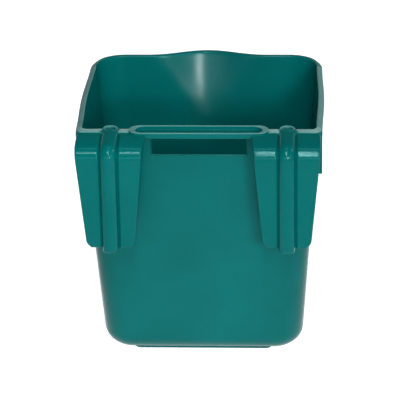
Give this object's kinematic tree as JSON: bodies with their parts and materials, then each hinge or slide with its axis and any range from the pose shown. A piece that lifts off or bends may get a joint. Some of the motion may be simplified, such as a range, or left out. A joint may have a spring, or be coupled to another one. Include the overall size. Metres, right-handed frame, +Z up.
{
  "type": "hook-over feed bucket",
  "caption": "Moulded plastic hook-over feed bucket: tapering tub with a flat rim, pouring spout, foot, hand slot under an oval grip, and broad ribbed hooks for a rail or door.",
  "frame": {"origin": "middle of the whole object's box, on the plane under its foot", "axes": "+Z up, hooks towards -Y, pouring spout towards +Y, +X to the right when the hooks face the viewer"},
  "size_m": [0.312, 0.338, 0.332],
  "materials": {
    "green_plastic": "glossy injection-moulded polypropylene, teal green, with fine moulding texture and light scuffs"
  },
  "bodies": {
    "root": {"tub_floor": "green_plastic", "base_foot": "green_plastic", "front_wall": "green_plastic", "pouring_spout": "green_plastic", "rear_wall": "green_plastic", "left_wall": "green_plastic", "right_wall": "green_plastic", "front_rim": "green_plastic", "left_rim": "green_plastic", "right_rim": "green_plastic", "left_rear_rim": "green_plastic", "right_rear_rim": "green_plastic", "grip_channel": "green_plastic", "left_corner_gusset": "green_plastic", "right_corner_gusset": "green_plastic", "left_hook_bridge": "green_plastic", "left_hook_tongue": "green_plastic", "left_hook_rib": "green_plastic", "left_rib_boss": "green_plastic", "right_hook_bridge": "green_plastic", "right_hook_tongue": "green_plastic", "right_hook_rib": "green_plastic", "right_rib_boss": "green_plastic"}
  },
  "joints": []
}
